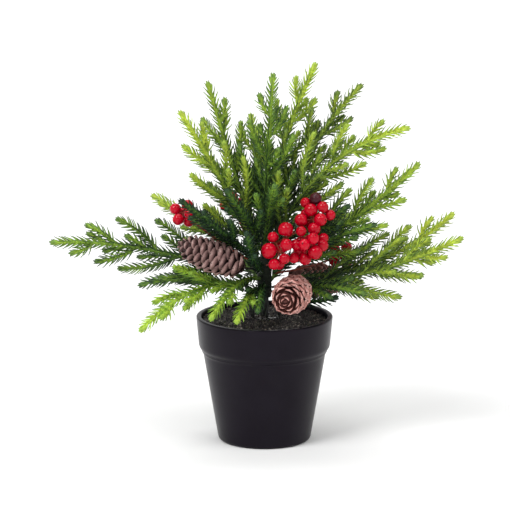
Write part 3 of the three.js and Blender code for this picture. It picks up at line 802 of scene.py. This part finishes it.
def add_fill_twigs(shape, axis, faces_way, green_and_shade_root, green_and_shade_tip):
    """Short twigs standing out of the fan's back and front between the long ones."""
    from_tip = FIRST_TWIG + TWIG_SPACING / 2
    i = 0
    while from_tip <= axis.length - BARE_STEM - FILL_BARE:
        place, tangent, across, lift = fan_frame(axis, from_tip, faces_way)
        out = lift * (1 if i % 3 == 2 else -1) + across * (0.9 if i % 2 else -0.9)
        reach = min(LONGEST_FILL, FILL_BASE + FILL_SHARE * from_tip)
        bend = place + BEND_AT * reach * unit(tangent + 0.9 * out)
        last = place + reach * unit(tangent + 0.5 * out)
        here = green_and_shade_root + (green_and_shade_tip - green_and_shade_root) * (1 - from_tip / axis.length)
        twig = bezier(place, bend, last)
        add_twig(shape, twig, TWIG_RADIUS, TWIG_BARE, here, here + 0.7 * (green_and_shade_tip - here))
        from_tip += TWIG_SPACING
        i += 1


def make_sprig(name, root, tip, bow, faces_way, side, green_and_shade_root, green_and_shade_tip, warmth):
    shape = Shape()
    axis, twigs = twigs_of(root, tip, bow, faces_way, side)
    add_twig(shape, axis, AXIS_RADIUS, AXIS_BARE, green_and_shade_root, green_and_shade_tip)
    if name in FULL_SPRIGS:
        add_fill_twigs(shape, axis, faces_way, green_and_shade_root, green_and_shade_tip)
    for twig, from_tip in twigs:
        here = green_and_shade_root + (green_and_shade_tip - green_and_shade_root) * (1 - from_tip / axis.length)
        end = here + (green_and_shade_tip - here) * rng.uniform(0.55, 1.0)
        add_twig(shape, twig, TWIG_RADIUS, TWIG_BARE, here, end)
    body = f"sprig_{name}"
    shape.make(f"{body}_needled", [SPRUCE], body, [body], warmth)


# -------------------- cones
CONE_RADIUS, CONE_TIP = 12.9, 24.6
SCALES, SCALE_ACROSS, SCALE_ROWS = 72, 11, 11
# the core sits deep among the scales; its dark tone is painted shade
CORE_SHADE_TONE = (0.05, 0.3, 0.5)


def cone_radius(share):
    """The envelope of the scales' lips, at a share of the length from the base."""
    closing = np.clip((share - 0.84) / 0.16, 0, 1)
    opening = np.sin(math.pi * (0.2 + 0.67 * share)) ** 0.7
    return float(CONE_RADIUS * opening * (1 - 0.8 * closing**1.5))


def scale_template():
    """One scale: a tongue with a thick rounded lip, as (across, out, along) with lip tones, dark at the root
    and underneath as painted shade.
    """
    top, bottom, tones = [], [], []
    for i in range(SCALE_ROWS):
        v = i / (SCALE_ROWS - 1)
        widening = 0.6 + 0.4 * math.sin(math.pi / 2 * min(1, v / 0.5))
        half = 0.5 * widening * math.sqrt(max(0.0, 1 - max(0, (v - 0.5) / 0.5) ** 3.4))
        half = max(half, 0.03)
        for k in range(SCALE_ACROSS):
            u = 2 * k / (SCALE_ACROSS - 1) - 1
            dome = 1 - u * u
            lip = max(0.0, (v - 0.5) / 0.5)
            edge = math.sqrt(max(0.0, 1 - abs(u) ** 4))
            swell = 0.10 * math.exp(-(((v - 0.82) / 0.14) ** 2))
            boss = 0.04 * math.exp(-(((v - 0.88) / 0.06) ** 2) - (u / 0.25) ** 2)
            cup = 0.15 * dome * v + 0.05 * lip**2
            top.append((half * u, cup + (0.035 + swell) * edge + boss, v))
            bottom.append((half * u, cup - 0.05 * edge, v * 0.985))
            rim = max(lip**3.5, abs(u) ** 5 * min(1, v * 1.4) * 0.8)
            # dark towards the scale's root as painted shade in the recess, pale at the lip and edges
            tones.append(0.06 + 0.10 * v + 0.45 * rim)
    tones = np.array(tones)
    # the underside's tones are darker still, as painted shade
    return np.array(top + bottom), np.concatenate([tones, tones * 0.4])


def sheet_faces(across, rows):
    """Faces of a closed sheet: a grid of points on top, the same below, and the rim between."""
    n = across * rows
    faces = []
    for i in range(rows - 1):
        for k in range(across - 1):
            a = i * across + k
            faces.append((a, a + 1, a + across + 1, a + across))
            faces.append((n + a, n + a + across, n + a + across + 1, n + a + 1))
    rim = list(range(across))
    rim += [r * across + across - 1 for r in range(1, rows)]
    rim += [(rows - 1) * across + k for k in range(across - 2, -1, -1)]
    rim += [r * across for r in range(rows - 2, 0, -1)]
    for a, b in zip(rim, rim[1:] + rim[:1]):
        faces.append((b, a, n + a, n + b))
    return faces


SCALE_POINTS, SCALE_LIP_AND_SHADE_TONES = scale_template()
SCALE_FACES = sheet_faces(SCALE_ACROSS, SCALE_ROWS)


def cone_scale(i, girth):
    """The points and tones of one scale on a cone standing on Z."""
    share = 0.03 + 0.96 * (i / (SCALES - 1)) ** 0.74
    turn = i * GOLDEN_ANGLE
    size = cone_radius(share) / CONE_RADIUS * (1 - 0.45 * share**2.5)
    lean = math.radians(48 - 34 * share) if share > 0.08 else math.radians(66)
    radial = vec(math.cos(turn), math.sin(turn), 0)
    ahead = radial * math.sin(lean) + vec(0, 0, math.cos(lean))
    outward = radial * math.cos(lean) - vec(0, 0, math.sin(lean))
    length = 6.5 + 6.5 * size
    width = (3.4 + 9.6 * size) * rng.uniform(0.94, 1.06)
    thickness, uneven = 3 + 8 * size, rng.uniform(0.9, 1.1)
    lip_at = radial * cone_radius(share) * girth + vec(0, 0, (share - 0.5) * CONE_LENGTH)
    lip_at = lip_at - ahead * max(0.0, lip_at[2] - CONE_TIP) / max(ahead[2], 0.3)
    points = (
        lip_at - ahead * length
        + np.outer(SCALE_POINTS[:, 0] * width, np.cross(outward, ahead))
        + np.outer((SCALE_POINTS[:, 1] - 0.12) * thickness * uneven, outward)
        + np.outer(SCALE_POINTS[:, 2] * length, ahead)
    )
    chance = rng.random()
    # the lip tones, with their painted shade at the root and underside
    lips = SCALE_LIP_AND_SHADE_TONES + rng.uniform(-0.06, 0.06)
    return points, np.stack([lips, np.full(len(lips), chance), np.full(len(lips), 0.5)], 1)


def make_cone(name, centre, points_way, anchor, girth, warmth):
    out = unit(vec(points_way))
    side = unit(np.cross(out, (0, 0, 1.0)))
    turned = np.stack([side, np.cross(side, out), out])
    core = [(0, -24.0)]
    for t in np.linspace(0.02, 0.98, 16):
        core.append((cone_radius(t) * 0.62 * girth, (t - 0.5) * CONE_LENGTH * 0.93))
    core.append((0, 0.47 * CONE_LENGTH))
    shape = Shape()
    points, faces = lathe(core, 24)
    shape.add(points @ turned + vec(centre), faces, CORE_SHADE_TONE)
    scales, tones = zip(*(cone_scale(i, girth) for i in range(SCALES)))
    placed = np.array([scale @ turned + vec(centre) for scale in scales])
    shape.repeat(placed, SCALE_FACES, np.clip(np.array(tones), 0, 1))
    shape.make(f"{name}_scales", [CONE], name, [name], warmth)
    wire = Shape()
    seat = vec(centre) - out * (CONE_LENGTH * 0.5 + 0.8)
    add_tube(wire, bezier(seat, seat - out * 6, vec(anchor)), rippled(0.85, 0.07, 90), 10, 0.5)
    wire.make(f"{name}_pick_wire", [WIRE], name, [f"{name}_wire"])


# -------------------- berries
EVEN_BERRIES, EVEN_SPREAD, EVEN_RADIUS = 6, 6.8, 4.0
INNER_BERRIES, INNER_SPREAD, INNER_RADIUS = 5, 4.6, 3.2
BOUND_SWELL = 1.07  # berries of a joined bunch press on each other
SKIN_SLOT, CALYX_SLOT, PICK_SLOT, WITHER_SLOT = 0, 1, 2, 3


def berries_of(middle, layout):
    """Each berry's place and radius."""
    if isinstance(layout, list):
        return [(vec(middle) + vec(x, y, z), radius) for x, y, z, radius in layout]
    out = []
    for i in range(EVEN_BERRIES):
        z = 1 - (2 * i + 1) / EVEN_BERRIES
        flat = math.sqrt(1 - z * z)
        turn = layout + i * GOLDEN_ANGLE
        offset = EVEN_SPREAD * vec(flat * math.cos(turn), flat * math.sin(turn), z)
        out.append((vec(middle) + offset, EVEN_RADIUS))
    return out


def inner_berries(middle, berries):
    """Small berries close in behind the outer ones, on the side towards the trunk."""
    back = unit(vec(0, 0, middle[2]) - vec(middle))
    out = []
    for i in range(INNER_BERRIES):
        turn = i * GOLDEN_ANGLE
        at = vec(middle) + back * 3.5 + INNER_SPREAD * vec(math.cos(turn), 0.3, math.sin(turn))
        if min(np.linalg.norm(at - other) - radius for other, radius in berries) > 0.4:
            out.append((at, INNER_RADIUS))
    return out


def add_berry(shape, at, radius, middle, skin_slot=SKIN_SLOT):
    """A lacquered berry, dimpled at its stem, with a small dried calyx at the far end."""
    out = unit(at - vec(middle))
    side = unit(np.cross(out, (0.3, 0.5, 0.8)))
    turned = np.stack([side, np.cross(out, side), out])
    height = np.clip(BALL_POINTS[:, 2], -1, 1)
    dimple = 0.14 * np.exp(-(((height + 1) / 0.16) ** 2))
    pucker = 0.05 * np.exp(-(((height - 1) / 0.05) ** 2))
    lumps = 1 + 0.012 * np.sin(BALL_POINTS[:, 0] * 4 + at[0]) * np.sin(BALL_POINTS[:, 1] * 5 + at[2])
    ball = BALL_POINTS * ((1 - dimple - pucker) * lumps)[:, None] * vec(0.985, 0.985, 1.0)
    shape.add((ball * radius * 0.995) @ turned + at, BALL_FACES, slot=skin_slot)
    nub = BALL_POINTS * vec(0.16, 0.16, 0.1) * radius
    nub[:, 2] += radius * 0.93
    shape.add(nub @ turned + at, BALL_FACES, slot=CALYX_SLOT)


def add_pick(shape, middle, anchor, berries, slot, short_by):
    """The bunch's wire up to its hub, and a branchlet to each berry that is far enough off."""
    hub, root = vec(middle), vec(anchor)
    stem = bezier(root, (hub + root) / 2 - vec(0, 0, 4), hub)
    add_tube(shape, stem, rippled(0.72, 0.08, 70), 10, 0.7, slot=slot, wobble=0.03)
    shape.add(BALL_POINTS * 1.1 + hub, BALL_FACES, slot=slot)
    for at, radius in berries:
        end = at - unit(at - hub) * (radius + short_by)
        if np.linalg.norm(end - hub) >= 0.5:
            branchlet = bezier(hub, (hub + end) / 2, end)
            add_tube(shape, branchlet, lambda u: 0.42 + 0.1 * u**3, 8, 0.6, slot=slot)


def make_bunch(name, middle, anchor, layout):
    berries = berries_of(middle, layout)
    if name in LOOSE:
        stem = Shape()
        add_pick(stem, middle, anchor, berries, 0, 0.15)
        stem.make(f"{name}_branchlets", [PICK], name, [f"{name}_stem"])
        for i, (at, radius) in enumerate(berries):
            berry = Shape()
            add_berry(berry, at, radius, middle)
            berry.make(f"{name}_{i + 1}_lacquered", [BERRY, CALYX], name, [f"{name}_{i + 1}"])
        return
    shape = Shape()
    if isinstance(layout, list):
        berries = berries + inner_berries(middle, berries)
    add_pick(shape, middle, anchor, berries, PICK_SLOT, -0.4)
    for i, (at, radius) in enumerate(berries):
        skin_slot = WITHER_SLOT if (name, i) == WITHERED else SKIN_SLOT
        add_berry(shape, at, radius * BOUND_SWELL, middle, skin_slot)
    shape.make(f"{name}_bound", [BERRY, CALYX, PICK, WITHER], name, [name])


# -------------------- glue at the stems
DROPS_AT_A_STEM = 7
POOLS = ((3, -9.5, 4.2), (7.5, -7.5, 3.0), (-2.5, -8.5, 2.6))  # x, y and radius
THREAD_TURNS = (0.3, 1.7, 3.4, 4.4, 5.1, 5.9)


def make_glue():
    shape = Shape()
    for x, y in [(0, 0), *(foot for foot, _ in STEMS.values())]:
        for _ in range(DROPS_AT_A_STEM):
            turn, far = rng.random() * 2 * math.pi, rng.uniform(1.5, 5.5)
            size = rng.uniform(0.9, 1.9)
            at = vec(x + far * math.cos(turn), y + far * math.sin(turn), 0)
            at[2] = soil_height(math.hypot(at[0], at[1])) - 0.1
            drop = vec(size, size * rng.uniform(0.7, 1.2), size * 0.45)
            shape.add(BALL_POINTS * drop + at, BALL_FACES)
    # a pool of set glue beside the trunk, and threads drawn out of it
    for x, y, size in POOLS:
        at = vec(x, y, float(soil_height(math.hypot(x, y))) + 0.1)
        lumpy = 1 + 0.1 * np.sin(BALL_POINTS[:, :1] * 5 + x) * np.sin(BALL_POINTS[:, 1:2] * 6 + y)
        shape.add(BALL_POINTS * lumpy * vec(size, size * 0.72, size * 0.30) + at, BALL_FACES)
    for turn in THREAD_TURNS:
        near = vec(math.cos(turn), math.sin(turn)) * 4.5
        far = vec(math.cos(turn + 0.5), math.sin(turn + 0.5)) * 17
        low = soil_height(float(np.hypot(*far))) + 0.6
        start, end = vec(*near, soil_height(0) + rng.uniform(2, 6)), vec(*far, low)
        add_tube(shape, bezier(start, (start + end) / 2 - vec(0, 0, 1.5), end), 0.13, 6, 1.5)
    shape.make("glue_drops", [GLUE], BASE, ())


# -------------------- build
make_pot()
make_soil()
make_trunk()
make_tape()
for stem_name, (foot, top) in STEMS.items():
    make_stem(stem_name, foot, top)
for sprig_name, values in SPRIGS.items():
    make_sprig(sprig_name, *values)
for cone_name, values in CONES.items():
    make_cone(cone_name, *values)
for bunch_name, values in BUNCHES.items():
    make_bunch(bunch_name, *values)
make_glue()

for cad_name, material in (("ballast_cement", CEMENT), ("foam_block", FOAM)):
    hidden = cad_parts[cad_name]
    hidden.data.materials.clear()
    hidden.data.materials.append(material)


# -------------------- stage
FLOOR_SIDES, FLOOR_RADIUS = 96, 60.0
CAMERA_DISTANCE, CAMERA_RISE = 2.0, math.radians(12)
SENSOR, VIEW_WIDTH = 36, 0.3733  # mm of film, and metres seen at the tree
TARGET = (-0.007, 0.0, 0.1382)


def make_stage():
    """A wide white floor."""
    mesh = bpy.data.meshes.new("floor")
    turns = [2 * math.pi * k / FLOOR_SIDES for k in range(FLOOR_SIDES)]
    edge = [(FLOOR_RADIUS * math.cos(t), FLOOR_RADIUS * math.sin(t), 0) for t in turns]
    mesh.from_pydata(edge, [], [tuple(range(FLOOR_SIDES))])
    look = Look("floor_white")
    colour = look.ramp(look.noise(3), [(0.3, (0.89, 0.89, 0.89)), (0.7, (0.91, 0.91, 0.91))])
    look.links.new(colour, look.shader.inputs["Base Color"])
    look.set(Roughness=0.9, Specular_IOR_Level=0.05)
    mesh.materials.append(look.owner)
    floor = bpy.data.objects.new("floor", mesh)
    bpy.context.scene.collection.objects.link(floor)


def aim(thing, target):
    direction = Vector(target) - thing.location
    thing.rotation_mode = "QUATERNION"
    thing.rotation_quaternion = direction.to_track_quat("-Z", "Y")


def make_light(name, towards, strength, spread_deg):
    """A very wide distant light, soft like a large diffuser; towards points at the light."""
    data = bpy.data.lights.new(name, "SUN")
    data.energy = strength
    data.angle = math.radians(spread_deg)
    light = bpy.data.objects.new(name, data)
    light.location = towards
    bpy.context.scene.collection.objects.link(light)
    aim(light, (0, 0, 0))


def make_world():
    """Soft light from all round: white at the horizon, dimmer overhead."""
    sky = Tree(bpy.data.worlds.new("studio"))
    place = sky.nodes.new("ShaderNodeTexCoord")
    split = sky.nodes.new("ShaderNodeSeparateXYZ")
    sky.links.new(place.outputs["Generated"], split.inputs["Vector"])
    level = sky.ramp(split.outputs["Z"], [(0.28, (1, 1, 1)), (0.45, (0.32, 0.32, 0.32))])
    background = sky.nodes["Background"]
    sky.links.new(level, background.inputs["Color"])
    background.inputs["Strength"].default_value = 1.0
    bpy.context.scene.world = sky.owner


def make_camera():
    """A long lens a little above the pot, looking along +Y."""
    data = bpy.data.cameras.new("camera")
    data.sensor_width = SENSOR
    data.lens = SENSOR * CAMERA_DISTANCE / VIEW_WIDTH
    data.clip_start, data.clip_end = 0.05, 40
    camera = bpy.data.objects.new("camera", data)
    back, up = CAMERA_DISTANCE * math.cos(CAMERA_RISE), CAMERA_DISTANCE * math.sin(CAMERA_RISE)
    camera.location = (TARGET[0], -back, TARGET[2] + up)
    bpy.context.scene.collection.objects.link(camera)
    aim(camera, TARGET)
    bpy.context.scene.camera = camera


make_stage()
make_camera()
make_light("key_light", (-0.46, -0.44, 0.77), 1.75, 26)
make_light("fill_light", (0.42, -0.38, 0.82), 0.85, 34)
make_light("back_light", (-0.08, 0.30, 0.95), 1.15, 34)
make_world()
bpy.context.scene.view_settings.view_transform = "Standard"
